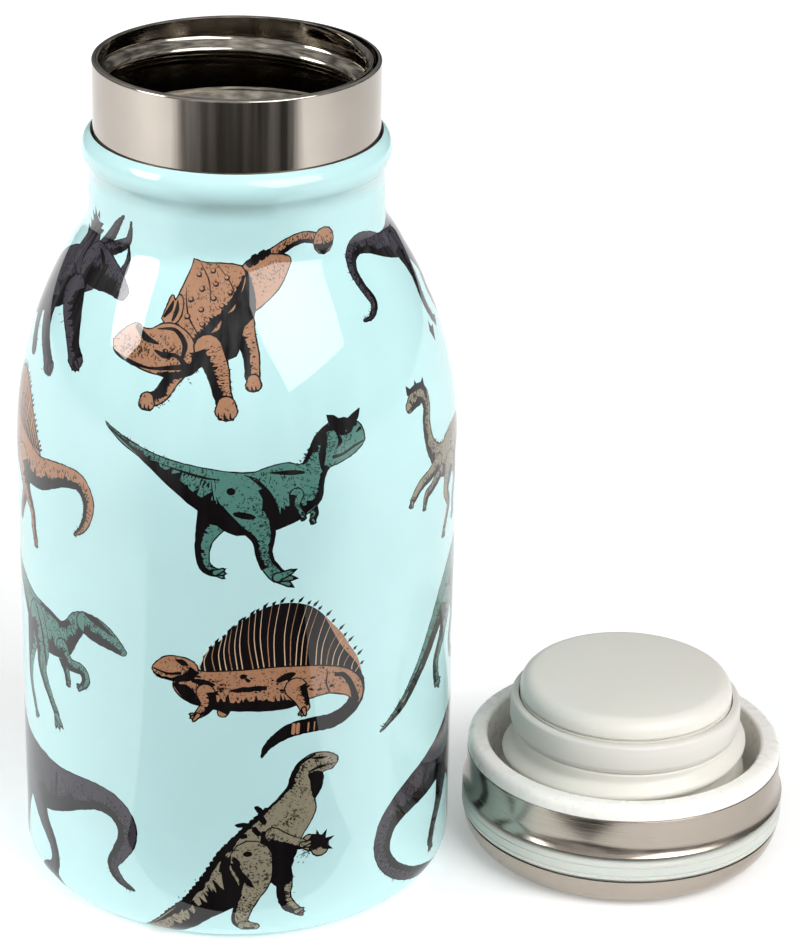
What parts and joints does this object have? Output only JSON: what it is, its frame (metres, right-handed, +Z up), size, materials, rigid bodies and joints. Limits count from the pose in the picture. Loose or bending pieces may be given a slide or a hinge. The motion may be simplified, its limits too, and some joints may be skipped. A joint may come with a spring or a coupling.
{
  "type": "vacuum drinks bottle",
  "caption": "Small double-walled steel drinks bottle shaped like a milk bottle, open at the mouth, with its insulated screw lid lying upside down beside it.",
  "frame": {"origin": "centre of the bottle's base, on the surface that it stands on", "axes": "+Z up along the bottle's axis; the lid lies on the same surface towards +X"},
  "size_m": [0.1259, 0.07, 0.1362],
  "materials": {
    "painted_shell": null,
    "polished_steel": "polished stainless steel",
    "rolled_steel": "bright rolled stainless steel",
    "hidden_steel": "plain stainless steel",
    "lid_steel": "finely turned stainless steel",
    "foil": "bright foil",
    "getter": "matt pressed powder",
    "solder": "frozen solder",
    "white_plastic": "soft gloss white polypropylene",
    "inner_plastic": "matt white polypropylene",
    "white_silicone": "soft satin white silicone",
    "pale_silicone": "translucent pale grey aqua silicone",
    "foam": "closed-cell foam"
  },
  "bodies": {
    "bottle": {"outer_shell": "painted_shell", "neck_band": "polished_steel", "inner_wall": "rolled_steel", "inner_bottom": "rolled_steel", "outer_bottom": "hidden_steel", "base_cover": "hidden_steel", "foil_wrap": "foil", "foil_base": "foil", "getter_cup": "hidden_steel", "getter_pellet": "getter", "seal_bead": "solder"},
    "lid_lifter": {"lid_foam": "foam"},
    "lid": {"lid_dome": "lid_steel", "dome_liner": "inner_plastic", "grip_ring": "pale_silicone", "lid_band": "lid_steel", "inner_cap": "white_plastic", "stopper_body": "white_plastic", "stopper_disc": "white_plastic", "stopper_foam": "foam"},
    "gasket": {"stopper_gasket": "white_silicone"}
  },
  "joints": [
    {"name": "lid_lift", "type": "slide", "parent": "bottle", "child": "lid_lifter", "axis": [0, 0, 1], "range_m": [0, 0.15]},
    {"name": "lid_turn", "type": "hinge", "parent": "lid_lifter", "child": "lid", "pos_m": [0.0642, 0, 0.018], "axis": [0, 0, 1], "range_deg": [0, 450]},
    {"name": "gasket_pull", "type": "slide", "parent": "lid", "child": "gasket", "axis": [0, 0, 1], "range_m": [0, 0.02]}
  ]
}
